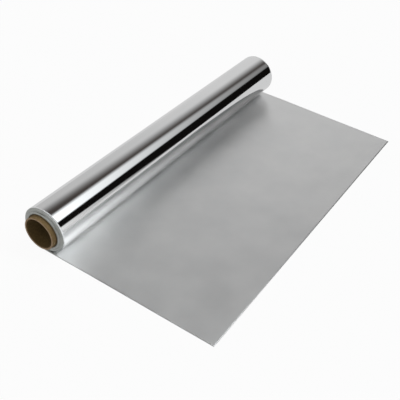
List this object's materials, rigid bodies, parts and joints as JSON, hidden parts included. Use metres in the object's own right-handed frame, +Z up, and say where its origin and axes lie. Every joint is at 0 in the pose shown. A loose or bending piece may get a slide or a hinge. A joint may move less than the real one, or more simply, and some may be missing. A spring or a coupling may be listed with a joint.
{
  "type": "aluminium foil roll",
  "caption": "Household aluminium foil wound on a cardboard tube, lying on its own unrolled length of foil.",
  "frame": {"origin": "on the surface the foil lies on, under the middle of the whole object's footprint", "axes": "+X along the roll's axis, +Z up, and the free length of foil runs from the roll towards -Y"},
  "size_m": [0.308, 0.166, 0.0368],
  "materials": {
    "cardboard": "uncoated kraft board, spiral wound",
    "foil": "bright on the outside of the roll, satin on the inner side that faces up on the free length"
  },
  "bodies": {
    "root": {"core_tube": "cardboard", "foil": "foil"}
  },
  "joints": []
}
